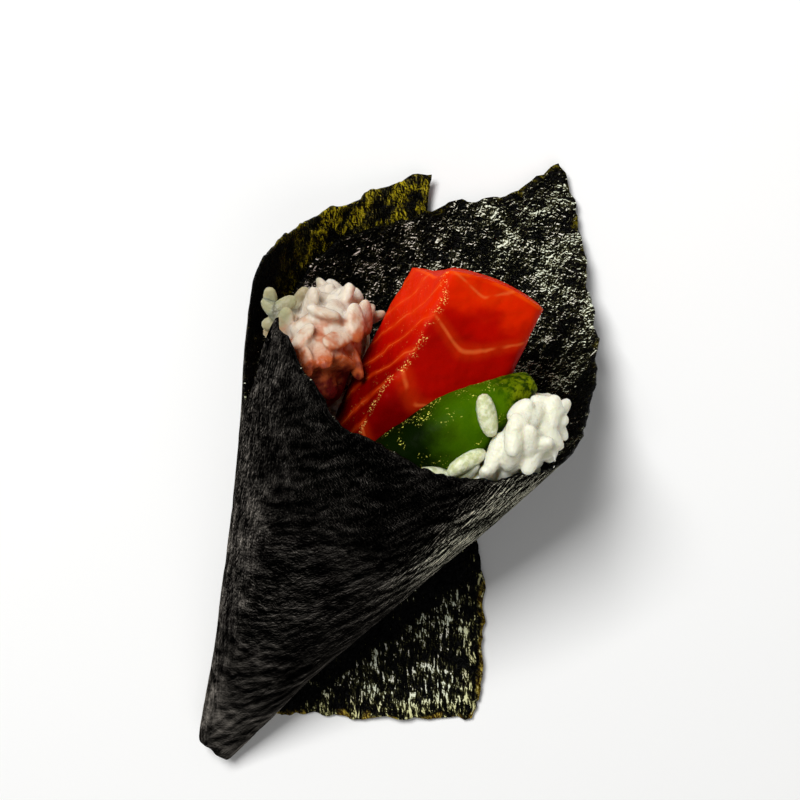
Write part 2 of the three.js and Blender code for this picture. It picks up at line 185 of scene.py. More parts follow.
inner_end = along([
    TIP_CORNER, (465, 24), (460, 38), (454, 53), (446, 69), (436, 84), (424, 97), (410, 105),
    (391, 111), (374, 118.5), (363, 122.5), INNER_CORNER,
])


def on_sheet(u, v):
    """Turn and reach of a point, u from the flap to the inner end and v from foot to rim."""
    rim_turn = blend(OUTER_CORNER[0], INNER_CORNER[0], u)
    foot_turn = blend(FLAP_CORNER[0], TIP_CORNER[0], u)
    rim, foot = (rim_turn, *rim_reach(rim_turn)), (foot_turn, *foot_reach(foot_turn))
    flap, inner = flap_end(v), inner_end(v)
    return [
        blend(foot[i], rim[i], v) + blend(flap[i], inner[i], u)
        - blend(blend(FLAP_CORNER[i], TIP_CORNER[i], u), blend(OUTER_CORNER[i], INNER_CORNER[i], u), v)
        for i in (0, 1)
    ]


print("middle of the sheet, turn and reach:", [round(number) for number in on_sheet(0.5, 0.5)])

# %% [markdown]
# The roll's skin is that cone, pressed flat where it rests, opened out at the mouth and blunt at
# the tip. The flap is the same cone unrolled onto the floor. A cone from the Add menu could be
# shaped by a Lattice, but then no point of it would still know its turn and its reach.

# %% The roll's skin
MOUTH_REACH, SQUASH = 98, 1.2
FLARE, FLARE_REACH = (0.4, 1.9), (62, 98)  # how far the sides stand out, low and at the mouth
BLUNT_LEFT, BLUNT_RIGHT, BLUNT_REACH = 0.9, 1.6, (8, 38)


def skin(turn, reach):
    """Point of the roll's outer skin, in mm from the apex. It is flat where it rests."""
    if turn < 0:
        aside = -math.radians(turn) * math.sin(HALF_ANGLE)
        return Vector((reach * math.sin(aside), reach * math.cos(aside), 0))
    around = math.radians(turn)
    flare = max(0, math.sin(around)) ** 2 * blend(*FLARE, ease(reach, *FLARE_REACH))
    blunt = BLUNT_LEFT if turn % 360 < 180 else BLUNT_RIGHT
    blunt *= math.sin(around) ** 2 * (1 - ease(reach, *BLUNT_REACH))
    radius = reach * math.sin(HALF_ANGLE) + flare + blunt
    height = reach * math.cos(HALF_ANGLE)
    down = radius * math.cos(around)
    floor = SQUASH * reach / MOUTH_REACH
    rise = height * math.sin(HALF_ANGLE) - down * math.cos(HALF_ANGLE) - floor
    share = clamp(0.5 + 0.5 * rise / floor)
    return Vector((
        -radius * math.sin(around),
        height * math.cos(HALF_ANGLE) + down * math.sin(HALF_ANGLE),
        rise * share + floor * share * (1 - share),
    ))


def inside(turn, reach, depth):
    """Point a given depth inside the skin, or above the flap."""
    sideways = skin(turn + 1, reach) - skin(turn - 1, reach)
    outwards = skin(turn, reach + 0.5) - skin(turn, reach - 0.5)
    return skin(turn, reach) + outwards.cross(sideways).normalized() * depth


print(f"mouth, from its floor to its top: {skin(180, MOUTH_REACH).z:.0f} mm high")

# %% [markdown]
# The sheet lies inside that skin. A simulation could press its turns together, but a depth says
# the same: its second turn lies a layer deeper than its first, its inner end curls in towards the
# tip's middle, and slow waves lift it where nothing holds it.

# %% How the sheet lies in it
NORI, LAYER_STEP, LAYER_TURNS = 0.5, 1.3, (130, 300)
WAVE, LOOSE_WAVE = 0.25, 0.75
FREE_REACH = (100, 112)  # from here on the sheet stands out past the filling
RICE_START = 30


def wave(turn, reach):
    """Waves of the sheet, none where the roll rests."""
    around = math.radians(turn)
    if turn < 0:
        x, y, _ = skin(turn, reach)
        ripple = math.sin(0.33 * x - 0.5) * math.cos(0.2 * y)
        return (WAVE + LOOSE_WAVE) * ease(x, 9, 26) * (0.5 + 0.5 * ripple)
    from_rest = abs((turn + 180) % 360 - 180)
    free = max(ease(from_rest, 14, 40), ease(reach, *FREE_REACH))
    ripple = math.sin(3 * around + 0.09 * reach) * math.cos(2 * around - 0.14 * reach)
    return (WAVE + LOOSE_WAVE * ease(reach, 88, 118)) * free * (0.5 + 0.5 * ripple)


def layer(turn, reach):
    """Depth of the sheet's middle: each turn lies inside the one before."""
    depth = NORI / 2 + LAYER_STEP * ease(turn, *LAYER_TURNS)
    curl = ease(turn, 300, TIP_CORNER[0]) * (1 - ease(reach, 12, RICE_START - 5))
    return depth + max(0, reach * math.sin(HALF_ANGLE) - depth - NORI) * curl


def unrolled(turn, reach):
    """The same point on the sheet laid flat, in mm."""
    aside = -math.radians(turn) * math.sin(HALF_ANGLE)
    return (reach * math.sin(aside), reach * math.cos(aside))


print(f"end of the flap: {math.dist(unrolled(*FLAP_CORNER), unrolled(*OUTER_CORNER)):.0f} mm long")

# %% [markdown]
# Nori tears along its edges. A Boolean with a ragged cutter could tear it, but would leave long
# thin faces. So every point is moved a little on the flat sheet, by a noise that fades out away
# from the edge. A cone unrolls flat without stretching, so that flat sheet is the UV map as well.
# A search tree over points on the outline tells how far off the edge is.

# %% Tear its edges
SHEET_COLUMNS, SHEET_ROWS = 330, 138
TEAR_DEPTH, TEAR_BAND = 1.1, 2.2
TEAR_SIZE, NICK_SIZE = 5.2, 1.7
SEED_ALONG, SEED_ASIDE = 3.1, 9.4

outline = [(i / SHEET_COLUMNS, v) for i in range(SHEET_COLUMNS + 1) for v in (0, 1)]
outline += [(u, i / SHEET_ROWS) for i in range(SHEET_ROWS + 1) for u in (0, 1)]
border = KDTree(len(outline))
for number, (u, v) in enumerate(outline):
    border.insert((*unrolled(*on_sheet(u, v)), 0), number)
border.balance()


def rough(x, y, size, seed):
    """Noise from about -1 to 1 that changes over a size in mm."""
    return noise.fractal((x / size, y / size, seed), 0.9, 2.1, 3)


def torn(u, v):
    """Turn and reach after tearing, and the distance from the edge in mm."""
    turn, reach = on_sheet(u, v)
    x, y = unrolled(turn, reach)
    edge = border.find((x, y, 0))[2]
    amount = TEAR_DEPTH * math.exp(-edge / TEAR_BAND)
    along_it, aside = (
        amount * (
            0.7 * rough(x, y, TEAR_SIZE, seed)
            + 0.5 * noise.noise((x / NICK_SIZE, y / NICK_SIZE, seed))
        )
        for seed in (SEED_ALONG, SEED_ASIDE)
    )
    reach += along_it
    turn += aside / (reach * math.sin(HALF_ANGLE) * math.radians(1))
    return turn, reach, edge


print("points on the outline:", len(outline))

# %% [markdown]
# Nori also crinkles as it takes up moisture. A Displace modifier with a texture could crinkle it,
# but it would lift the sheet off the line that it rests on, so this is worked out point by point
# too: broad crinkles and fine creases, which die away there. An attribute keeps how near the edge
# a point is, for the thin olive rim. A Solidify modifier then gives the paper its thickness.

# %% Crinkle and thicken it
CRINKLE_SIZE, CRINKLE_HEIGHT = 7.0, (0.16, 0.6)  # heights where it is held and where it is loose
CREASE_SIZE, CREASE_HEIGHT = 2.4, (0.12, 0.26)
PAPER = 0.34


def crinkle(turn, reach, x, y):
    """Height of the crinkles, more of them where the sheet stands free."""
    from_rest = abs((turn + 180) % 360 - 180) if turn >= 0 else 90
    free = max(ease(from_rest, 20, 45), ease(reach, *FREE_REACH))
    loose = ease(reach, 84, 112) if turn >= 0 else 0.8
    broad = 0.5 + 0.5 * rough(x, y, CRINKLE_SIZE, 1.7)
    fine = 0.5 + 0.5 * rough(x, y, CREASE_SIZE, 5.2)
    return free * (blend(*CRINKLE_HEIGHT, loose) * broad + blend(*CREASE_HEIGHT, loose) * fine)


edge_distance = []


def sheet_point(u, v):
    turn, reach, edge = torn(u, v)
    edge_distance.append(edge)
    flat = unrolled(turn, reach)
    depth = layer(turn, reach) + wave(turn, reach) + crinkle(turn, reach, *flat)
    return inside(turn, reach, depth)


sheet = grid_piece(
    "nori", SHEET_COLUMNS, SHEET_ROWS, sheet_point, lambda u, v: unrolled(*on_sheet(u, v))
)
sheet.data.attributes.new("edge_distance", "FLOAT", "POINT").data.foreach_set("value", edge_distance)
thicken = sheet.modifiers.new("thicken", "SOLIDIFY")
thicken.thickness = PAPER * MM
thicken.offset = 0
thicken.material_offset = 1
thicken.material_offset_rim = 1

# %% [markdown]
# ## Materials
# A finish could be painted by hand, or wrapped round the piece as an image. Here it is worked out
# from the place on the surface, which stays sharp at any distance: noises for grain and stains,
# masks made of them, painted light and shade, and a bump for what is too fine to model. In the
# node editor that would be hundreds of boxes, so the small class below lets it be written as
# ordinary arithmetic, and each sum or product adds its own Math node.

# %% Writing shader maths as expressions
class Value:
    """One socket of a finish."""

    def __init__(self, finish, socket):
        self.finish = finish
        self.socket = socket

    def _math(self, operation, a, b):
        return self.finish.node("Math", {"operation": operation}, {0: a, 1: b})

    def __add__(self, other):
        return self._math("ADD", self, other)

    def __sub__(self, other):
        return self._math("SUBTRACT", self, other)

    def __rsub__(self, other):
        return self._math("SUBTRACT", other, self)

    def __mul__(self, other):
        return self._math("MULTIPLY", self, other)

    def __truediv__(self, other):
        return self._math("DIVIDE", self, other)

    def __pow__(self, other):
        return self._math("POWER", self, other)

    def __abs__(self):
        return self._math("ABSOLUTE", self, 0)

    __radd__ = __add__
    __rmul__ = __mul__


class Finish:
    """A material in the making. Lengths are in mm."""

    def __init__(self, name):
        self.material = bpy.data.materials.new(name)
        self.material.use_nodes = True
        self.tree = self.material.node_tree
        self.shader = self.tree.nodes["Principled BSDF"]
        print("finish:", name)

    def node(self, kind, settings, inputs, output=0):
        """Adds a node, gives it its settings and then its sockets' values or links."""
        made = self.tree.nodes.new("ShaderNode" + kind)
        for key, setting in settings.items():
            setattr(made, key, setting)
        for key, value in inputs.items():
            self.feed(made.inputs[key], value)
        return Value(self, made.outputs[output])

    def feed(self, socket, value):
        if isinstance(value, Value):
            self.tree.links.new(value.socket, socket)
        elif isinstance(value, tuple) and socket.type == "RGBA":
            socket.default_value = (*value, 1)
        else:
            socket.default_value = value

    def surface(self, **sockets):
        """Sets or links sockets of the shader; Base_Color means Base Color."""
        for name, value in sockets.items():
            self.feed(self.shader.inputs[name.replace("_", " ")], value)
        return self.material

    def chart(self):
        """The piece's UV map in mm."""
        uv = self.node("TexCoord", {}, {}, "UV")
        return self.scaled(uv, (1 / MM, 1 / MM, 1))

    def place(self):
        """Place in the frame in mm, from under the cone's apex."""
        spot = self.node("TexCoord", {}, {}, "Object")
        scale = {"Location": tuple(-APEX), "Scale": (1 / MM,) * 3}
        return self.node("Mapping", {}, {"Vector": spot, **scale})

    def scaled(self, vector, scale, turn=0.0):
        """Turned about Z, then scaled."""
        turned = self.node("Mapping", {}, {"Vector": vector, "Rotation": (0, 0, turn)})
        return self.node("Mapping", {}, {"Vector": turned, "Scale": scale})

    def part(self, vector, axis):
        return self.node("SeparateXYZ", {}, {"Vector": vector}, axis)

    def grain(self, vector, size, detail=2, roughness=0.5, warp=0.0):
        """Noise about 0.5 that changes over a size in mm."""
        sockets = {"Scale": 1 / size, "Detail": detail, "Roughness": roughness, "Distortion": warp}
        return self.node("TexNoise", {}, {"Vector": vector, **sockets})

    def relief(self, vector, shift, **noise):
        """How a noise rises along a shift: light on one side of each fold, dark on the other."""
        ahead = self.node("VectorMath", {"operation": "ADD"}, {0: vector, 1: shift})
        return self.grain(ahead, **noise) - self.grain(vector, **noise)

    def cells(self, vector):
        """A random value for each cell round points scattered about 1 apart."""
        return self.part(self.node("TexVoronoi", {}, {"Vector": vector, "Scale": 1}, "Color"), "X")

    def ease(self, value, low, high, to=(0, 1)):
        """Smooth step between two values."""
        ends = {"From Min": low, "From Max": high, "To Min": to[0], "To Max": to[1]}
        return self.node("MapRange", {"interpolation_type": "SMOOTHSTEP"}, {"Value": value, **ends})

    def polar(self, flat):
        """Turn in degrees and reach in mm, from the sheet's UV map."""
        x, y = self.part(flat, "X"), self.part(flat, "Y")
        aside = self.node("Math", {"operation": "ARCTAN2"}, {0: x, 1: y})
        turn = aside * (-math.degrees(1) / math.sin(HALF_ANGLE))
        return turn, self.node("VectorMath", {"operation": "LENGTH"}, {0: flat}, "Value")

    def mix(self, share, a, b):
        """Colour between a and b."""
        return self.node("Mix", {"data_type": "RGBA"}, {0: share, 6: a, 7: b}, 2)

    def bump(self, height):
        """Normal from a height in mm."""
        return self.node("Bump", {}, {"Height": height, "Distance": MM, "Strength": 1})


# %% [markdown]
# A mask is a value from 0 to 1 that says where a colour goes. Thin lines at even steps are drawn
# from a count that grows by one from line to line: how far it is from a whole number, times the
# spacing, is the distance to the nearest line.

# %% Small helpers for masks
def line_at(finish, count, spacing, width, blur):
    """1 on lines at whole numbers of count, which are a spacing apart in mm."""
    nearest = finish.node("Math", {"operation": "PINGPONG"}, {0: count, 1: 0.5}) * spacing
    return 1 - finish.ease(nearest, width, width + blur)


def larger(finish, a, b):
    return finish.node("Math", {"operation": "MAXIMUM"}, {0: a, 1: b})


def smaller(finish, a, b):
    return finish.node("Math", {"operation": "MINIMUM"}, {0: a, 1: b})


print("mask helpers: line_at, larger, smaller")

# %% [markdown]
# Nori's two faces differ. The outer one is smooth and charcoal, and a web of short fibres catches
# the light on it. A bump on a glossy black would glitter and change with every light, so the
# light on each fibre is part of its colour instead: a relief compares a noise with itself a
# little further on, which is light on one side of every fibre and dark on the other. Broader
# noises lay plies and mottling over that. The fibres run one way on the roll's left side and
# another on the rest, so reliefs turned both ways are let through by a mask.

# %% The sheet's outer face: fibres and plies
RIB_TURN = math.radians(-28.5)  # turns the chart so that its Y runs along the ribs
STEEP, SHALLOW = math.radians(-36), math.radians(-93)  # likewise for two ways the fibres run
FIBRE_STRETCH = (1.5, 0.6, 1)
PLY_STRETCH = (1.6, 0.5, 1)

outer = Finish("nori_smooth")
flat = outer.chart()
turn, reach = outer.polar(flat)
broad = outer.grain(flat, 7, detail=2)
mottle = outer.grain(outer.scaled(flat, (1, 0.45, 1), SHALLOW), 2.2, detail=3, warp=0.8)
fibre = {"size": 1.0, "detail": 3, "roughness": 0.6, "warp": 1.7}
steep, shallow = (
    outer.relief(outer.scaled(flat, FIBRE_STRETCH, way), (0.28, 0.1, 0), **fibre)
    for way in (STEEP, SHALLOW)
)
short = outer.relief(outer.scaled(flat, (2.0, 1.2, 1), 0.4), (0.25, 0.15, 0), **fibre)
ply_noise = {"size": 5.5, "detail": 3, "roughness": 0.6, "warp": 2.2}
steep_ply, shallow_ply = (
    outer.relief(outer.scaled(flat, PLY_STRETCH, way), (1.4, 0.4, 0), **ply_noise)
    for way in (STEEP, SHALLOW)
)
fan = outer.node("CombineXYZ", {}, {0: turn * 0.45, 1: reach * 0.16})
fold = outer.relief(fan, (0.25, 0, 0), size=1.0, detail=3, roughness=0.6, warp=2.6)
left_side = outer.ease(turn, 170, 120)
low = outer.ease(reach, 84, 62)
hair = steep * left_side + (shallow * low + short * (1 - low)) * (1 - left_side)
# Towards the tip the fibres show less, the plies more, and the grey is a little lighter.
toward_tip = outer.ease(reach, 54, 34)
hair = hair * (1 - 0.6 * toward_tip)
ply = (steep_ply * left_side + shallow_ply * (1 - left_side)) * (1 + 0.25 * toward_tip)
print("nodes so far:", len(outer.tree.nodes))

# %% [markdown]
# How grey the sheet looks changes too, and that grey is mostly painted sheen. Masks by turn and
# reach raise it: painted highlights on the creases near the mouth and low on the right, painted
# light on its left side with a painted highlight along its rim, and a lighter grey low down and at
# the tip. A spread says how strongly the fibres show there. A painted map could say the same, but
# it would need an image. The sum is the level, as the eye sees it, so its cube is the colour that
# the shader needs.

# %% The sheet's outer face: how grey it is
HAIR, PLY, MOTTLE, BROAD = 17, 8, 7, 6  # how strongly each noise shows
CHARCOAL = (0.0004, 0.0004, 0.0004)
# Tints of the painted sheen: warm over most of the face, greener where the creases shine, brown on the
# painted highlight along the left rim.
WARM_SHEEN, GREEN_CREASE_SHEEN, BROWN_RIM_HIGHLIGHT = (1.0, 0.90, 0.78), (1.0, 0.97, 0.74), (1.0, 0.76, 0.63)

# Painted highlights on the creases near the mouth, on the right side.
crease_sheen = outer.ease(turn, 206, 232) * outer.ease(turn, 282, 262) * outer.ease(reach, 52, 80)
# Painted sheen low down on the right side.
low_right_sheen = outer.ease(turn, 222, 244) * outer.ease(turn, 282, 262) * outer.ease(reach, 66, 46)
# A painted highlight along the left rim.
rim_highlight = outer.ease(turn, 114, 97) * outer.ease(turn, 76, 88)
# The left side gets painted light, as it faces the light, fading at the very edge.
left_side = left_side * (1 - 0.6 * outer.ease(turn, 88, 70))
tip = outer.ease(reach, 34, 20)
# The level is the painted sheen, raised by all these masks and shaped by the fibres.
level = 0.120 + left_side * 0.130 + low * 0.065 + toward_tip * 0.03
level = level + crease_sheen * 0.15 + low_right_sheen * 0.13 + rim_highlight * 0.20 + tip * 0.14
spread = 0.068 + left_side * 0.034 + low * 0.010 + crease_sheen * 0.060
grains = hair * HAIR + ply * PLY + (mottle - 0.5) * MOTTLE + (broad - 0.5) * BROAD
# Painted light and shade of the broad folds, shown only where the creases shine.
folds = fold * 4.6 + ply * 1.8 + (broad - 0.5) * 0.7
level = level + spread * grains + crease_sheen * folds
# The painted sheen is greener on the shining creases.
sheen_tint = outer.mix(crease_sheen, WARM_SHEEN, GREEN_CREASE_SHEEN)
# It is brown on the painted highlight along the left rim.
sheen_tint = outer.mix(outer.ease(turn, 99, 93) * outer.ease(turn, 82, 90), sheen_tint, BROWN_RIM_HIGHLIGHT)
height = broad * 0.9 + mottle * 0.25 + hair * 0.08
outer.surface(
    Base_Color=outer.mix(larger(outer, level, 0) ** 3 * 0.55, CHARCOAL, sheen_tint),
    Roughness=0.6,
    Normal=outer.bump(height),
    Specular_IOR_Level=0.0,
)
print("nodes of the outer face:", len(outer.tree.nodes))

# %% [markdown]
# The inner face is crinkled and glossy, with ribs from the mat that the sheet was dried on. Its
# glints are painted into its colour like the light on the outer one, from two finer reliefs:
# streaks along the ribs on the flap, and flecks on the part that stands up behind the filling.
# Both faces follow the UV map, so the ribs run as on a real sheet. Masks by turn and reach name
# its parts.

# %% The sheet's inner face: ribs and crumples
STREAK_STRETCH, FLECK_STRETCH = (1.5, 0.42, 1), (1.4, 1.0, 1)

inner = Finish("nori_crinkled")
flat = inner.chart()
turn, reach = inner.polar(flat)
spot = inner.scaled(flat, (1, 1, 1), RIB_TURN)
edge = inner.node("Attribute", {"attribute_name": "edge_distance"}, {}, "Fac")
rib_spot = inner.scaled(spot, STREAK_STRETCH)
crumple_spot = inner.scaled(spot, FLECK_STRETCH)
rib_noise = {"size": 1.0, "detail": 2, "roughness": 0.6, "warp": 0.4}
crumple_noise = {"size": 1.0, "detail": 3, "roughness": 0.65, "warp": 1.2}
rib = inner.grain(rib_spot, **rib_noise)
rib_slope = inner.relief(rib_spot, (0.3, 0, 0), **rib_noise)
crumple = inner.grain(crumple_spot, **crumple_noise)
slope = inner.relief(crumple_spot, (0.22, 0.16, 0), **crumple_noise)
fold = inner.grain(inner.scaled(spot, (1, 0.7, 1)), 2.6, detail=2, warp=0.6)
fold_slope = inner.relief(spot, (0.5, 0.5, 0), size=3.2, detail=2, warp=0.8)
broad = inner.grain(spot, 7, detail=1)
flap = inner.ease(turn, 2, -8)
strip = inner.ease(turn, 120, 95) * inner.ease(turn, 8, 20) * inner.ease(reach, 84, 92)
# Painted shade: darker at the strip's left end by the wall, and on the back behind the left heap, where
# its glints are pinkish.
shaded = strip * inner.ease(turn, 48, 76)
left_back = inner.ease(turn, 354, 404)
# Painted shadow of the wrap, which darkens a band of the flap next to it.
below = inner.ease(turn, -80, -74) * flap
# Painted light on the flap near the wrap, where its real shadow falls.
light_near_wrap = flap * inner.ease(turn, -130, -84)
# Streaks and flecks of painted glints.
streaks = (rib - 0.5) * 9 + rib_slope * 14
flecks = (crumple - 0.5) * 6 + slope * 17
fine = (streaks + slope * 6) * flap + flecks * (1 - flap)
front = inner.ease(turn, 80, 95) * inner.ease(turn, 330, 290)
cluster = inner.grain(inner.scaled(spot, (1, 0.75, 1)), 3.6, detail=2, warp=1.0)
cluster = inner.ease(cluster, 0.40, 0.60)
print("nodes so far:", len(inner.tree.nodes))

# %% [markdown]
# This face is black but for painted highlights on its crests. Its level is worked out as on the
# outer face, and a high power of it leaves the crests alone. Painted shade takes glints away where
# the wrap shadows the flap, behind the left heap and at the strip's left end, and painted light
# adds some near the wrap. Where the weed is thin the light comes through olive, on the strip of it
# along the left rim and along all its torn edges. That could be real translucency, but it would
# need a light behind the sheet, so it is painted light in the colour, with painted shade in its
# creases.

# %% The sheet's inner face: shine and thin edges
BLACK_WEED, GREEN_WEED = (0.0003, 0.0003, 0.0002), (0.090, 0.084, 0.024)
# Colours of the painted glints.
WARM_GLINT, GREEN_GLINT, DULL_GLINT = (1.0, 0.96, 0.86), (0.95, 1.0, 0.80), (0.78, 0.78, 0.38)
EDGE_GLINT, PINK_GLINT, GOLD_GLINT = (0.70, 0.66, 0.20), (1.0, 0.85, 0.78), (0.80, 0.62, 0.10)
# Each pair puts painted shade in the creases and painted light on them, on the see-through weed.
OLIVE = (0.005, 0.003, 0.0002), (0.56, 0.45, 0.010)  # in its creases and on them
GOLD = (0.045, 0.020, 0.0010), (0.60, 0.44, 0.060)

# Level of the painted glints: fewer past turn 330, on the front, flap and strip, and under the painted
# shade and shadow; more near the wrap and in clusters.
level = 0.12 - inner.ease(turn, 330, 358) * 0.20 - shaded * 0.08 - below * 0.8 - front * 0.6
level = level + light_near_wrap * 0.05 - flap * 0.02 - strip * 0.08 - left_back * 0.06
level = level + (cluster - 0.4) * (0.22 - strip * 0.10)
spread = 0.37 - left_back * 0.06 - strip * 0.18 - shaded * 0.06
level = level + spread * (fine + (fold - 0.5) * 4.5 + fold_slope * 6 + (broad - 0.5) * 4.5)
level = larger(inner, level, 0)
patches = inner.grain(inner.scaled(spot, (1, 0.8, 1)), 3.2, detail=4, roughness=0.7)
thin = strip * inner.ease(patches, 0.45, 0.60) * inner.ease(turn, 80, 50)
frayed = inner.ease(edge + fold * 3.6 + broad * 3.4, 4.0, 3.0) * (flap * 0.7 + 0.25)
frayed = frayed * (1 - left_back) * (1 - front)
# The painted glints are warm or green silver, duller where they are faint.
glint_colour = inner.mix(inner.ease(broad, 0.40, 0.60), WARM_GLINT, GREEN_GLINT)
tint = inner.mix(inner.ease(level, 0.6, 1.0), DULL_GLINT, glint_colour)
tint = inner.mix(flap * inner.ease(edge, 6, 1) * 0.7, tint, EDGE_GLINT)
tint = inner.mix(left_back, tint, PINK_GLINT)
tint = inner.mix(strip, tint, GOLD_GLINT)
# The weed is black, and shows its own olive as the painted light on it rises.
weed = inner.mix(level * level, BLACK_WEED, GREEN_WEED)
# Painted light on the crests of the thin weed, painted shade in its creases.
bright = inner.ease(crumple + slope * 2.0 + fold_slope * 0.8, 0.40, 0.74)
see_through = inner.mix(flap, inner.mix(bright, *OLIVE), inner.mix(bright, *GOLD))
shell = inner.mix(smaller(inner, thin * 0.8 + frayed, 1), weed, see_through)
height = rib * 0.4 + crumple * 0.5 + fold * 0.9
inner.surface(
    Base_Color=inner.mix(smaller(inner, level ** 7 * 1.5, 1), shell, tint),
    Roughness=inner.ease(crumple, 0.35, 0.7, to=(0.34, 0.18)),
    Normal=inner.bump(height),
    Specular_IOR_Level=0.05,
)
sheet.data.materials.append(outer.material)
sheet.data.materials.append(inner.material)
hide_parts("nori_sheet")
print("nodes of the inner face:", len(inner.tree.nodes))

# %% [markdown]
# ## The salmon
# A bar of raw salmon, cut from a fillet, runs from its cut end at the mouth down into the roll. A
# bevelled box with a Subdivision Surface would do for a plain bar. This one has a ridge between
# two slanting faces, so it starts from its section, an outline of five corners that short curves
# round off.

# %% The bar's section
SALMON_SECTION = [(-5, 10), (10.8, 3.9), (10.2, -7.5), (-8.5, -9), (-11.2, -1.5)]
SALMON_CORNER = 2.0


def rounded_outline(corners, radius, steps=5):
    """Points round an outline whose corners are rounded."""
    points = []
    for i, corner in enumerate(corners):
        corner = Vector(corner)
        start = corner + (Vector(corners[i - 1]) - corner).normalized() * radius
        end = corner + (Vector(corners[(i + 1) % len(corners)]) - corner).normalized() * radius
        for k in range(steps + 1):
            t = k / steps
            points.append(start * (1 - t) ** 2 + corner * 2 * t * (1 - t) + end * t * t)
    return points


def round_trip(points):
    """Function from 0-1 to the closed line through points, and its length."""
    ring = points + points[:1]
    reached = [0.0]
    for a, b in zip(ring, ring[1:]):
        reached.append(reached[-1] + (b - a).length)

    def at(share):
        distance = clamp(share) * reached[-1]
        i = next(k for k in range(1, len(ring)) if distance <= reached[k] + 1e-9)
        part = (distance - reached[i - 1]) / (reached[i] - reached[i - 1])
        return ring[i - 1].lerp(ring[i], part)

    return at, reached[-1]


section, girth = round_trip(rounded_outline(SALMON_SECTION, SALMON_CORNER))
print(f"round the bar: {girth:.0f} mm")

# %% [markdown]
# The section is carried along a middle line and gets smaller down in the roll. A Curve object with
# a bevel could do that, but not the cut end, which steps out at the ridge, so a curve of its own
# cuts it. A slow noise and a fine one lift the faces a little, as cut fish is never quite flat.

# %% The bar
SALMON_LENGTH = 64.5
SALMON_CAP = 0.3  # height of the rounding of its cut end
CAP_SHARE = 0.03  # share of the rows that make each end
SWELL, SWELL_SIZE = 0.35, 7
RIPPLE, RIPPLE_SIZE = 0.12, 1.8
salmon_line = along([(1.6, 107, 33.5), (1.6, 95, 34.5), (1.5, 80, 33.5), (1.3, 62, 23), (1, 44, 13.5)])
# How far out its end is cut, from left to right. It steps out at the ridge.
salmon_cut = through([
    (-12, -2.4), (-10.5, -1.9), (-8, -1.3), (-6.6, -1.2), (-5.6, 0.4), (-4.4, 1.0), (-1, 1.9),
    (2.6, 2.5), (8, 2.5), (12, 2.1),
])
salmon_scale = through([(0, 1), (0.45, 1), (0.75, 0.72), (1, 0.45)])


def salmon_point(u, v):
    """u goes round the section from its ridge, v from the cut end to the depth."""
    cap = ease(v, 0, CAP_SHARE) * (1 - ease(v, 1 - CAP_SHARE, 1))
    share = clamp((v - CAP_SHARE) / (1 - 2 * CAP_SHARE))
    x, y, z = salmon_line(share)
    across = section(u) * salmon_scale(share)[0]
    swell = SWELL * rough(across.x * 0.5 + 9, y, SWELL_SIZE, 2.2)
    swell += RIPPLE * rough(across.x, y + across.y, RIPPLE_SIZE, 4.4)
    spread = cap ** 0.5 if v < 0.5 else cap
    grown = across * spread * (1 + (0.3 + swell) / across.length)
    away = y + salmon_cut(grown.x)[0] * (1 - share) ** 2
    if v < 0.5:
        away += SALMON_CAP * (1 - spread ** 8)
    return Vector((x + grown.x, away, z + grown.y))


salmon = grid_piece(
    "salmon", 150, 130, salmon_point,
    lambda u, v: ((u if u < 0.5 else u - 1) * girth, v * SALMON_LENGTH), closed=True,
)
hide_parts("salmon")

# %% [markdown]
# The fat in a fillet lies in thin pale sheets between its flakes. Where a face cuts them they show
# as lines: here they slant down the left face and make shallow Vs on the right one. A Wave texture
# could draw stripes, but not Vs at a set place, so the lines come from counts in the UV map, which
# measures mm from the ridge. A wider, weaker painted glow goes with each line, because raw fish is
# see-through. The cut end has lines of its own, counted straight through the bar.

# %% Its lines of fat
LEFT_SPACING, RIGHT_SPACING, V_PLACE = 7.0, 10.8, 6.6

flesh = Finish("salmon_flesh")
chart = flesh.chart()
wander = flesh.grain(chart, 5, detail=2)
deep = flesh.part(chart, "Y")
sway = flesh.ease(deep, 0, 9) * flesh.ease(deep, 28, 20) * 2.4
across = flesh.part(chart, "X") - sway + (wander - 0.5) * 1.6
down = deep + (wander - 0.5) * 1.2
left = flesh.ease(across, 0.4, -0.4)
slant = (down + across * 1.35) / LEFT_SPACING + 0.40
bend = ((across - V_PLACE) * (across - V_PLACE) + 0.8) ** 0.5
vee = (down + bend * 0.8) / RIGHT_SPACING + 0.45
fade = flesh.ease(flesh.grain(chart, 3.4, detail=1), 0.34, 0.56)
left_lines = line_at(flesh, slant, LEFT_SPACING, 0.02, 0.34) * left
right_lines = line_at(flesh, vee, RIGHT_SPACING, 0.02, 0.55) * (1 - left)
spot = flesh.place()
end = flesh.ease(deep, 1.9, 1.6)
layer = (flesh.part(spot, "Z") + flesh.part(spot, "X") * 0.5 + (wander - 0.5) * 6) / RIGHT_SPACING
end_lines = line_at(flesh, layer, RIGHT_SPACING, 0.05, 0.6) * end
fat = (left_lines * 0.36 + right_lines * 0.46) * fade * (1 - end) + end_lines * 0.4
# A painted glow beside each line of fat.
glow = line_at(flesh, slant, LEFT_SPACING, 0.2, 1.6) * left * 0.30
glow = (glow + line_at(flesh, vee, RIGHT_SPACING, 0.2, 2.2) * (1 - left) * 0.22) * (1 - end)
print("nodes so far:", len(flesh.tree.nodes))

# %% [markdown]
# The flesh itself is orange at the mouth. Painted shade darkens it deep in the roll, and sooner on
# its right face, which faces away from the light. A painted highlight follows the edge of the cut
# end, and the wet ridge between the faces gets painted sparkles: its dots are a threshold on a very
# fine noise, as gloss alone gives none in soft light. A little subsurface light keeps the fish from
# looking painted.

